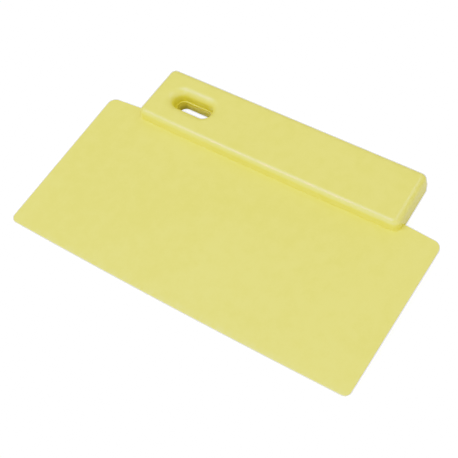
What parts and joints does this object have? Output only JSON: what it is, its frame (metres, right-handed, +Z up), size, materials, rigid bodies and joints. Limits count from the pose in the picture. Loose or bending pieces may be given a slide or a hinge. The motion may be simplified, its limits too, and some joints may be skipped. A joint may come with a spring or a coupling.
{
  "type": "hand scraper",
  "caption": "Flat flexible plastic hand scraper: thin rectangular blade with rounded corners, thick rounded grip bar along its rear edge and a hang slot through the bar.",
  "frame": {"origin": "centre of the tool's bounding box in X and Y, in the plane of the grip bar's underside", "axes": "+X along the scraping edge, +Y from the scraping edge towards the grip bar, +Z up, square to the blade"},
  "size_m": [0.206, 0.1236, 0.0137],
  "materials": {
    "blade_plastic": "satin, fine moulded skin, pale lemon yellow",
    "grip_plastic": "satin, fine moulded skin, pale lemon yellow"
  },
  "bodies": {
    "root": {"blade": "blade_plastic", "grip": "grip_plastic"}
  },
  "joints": []
}
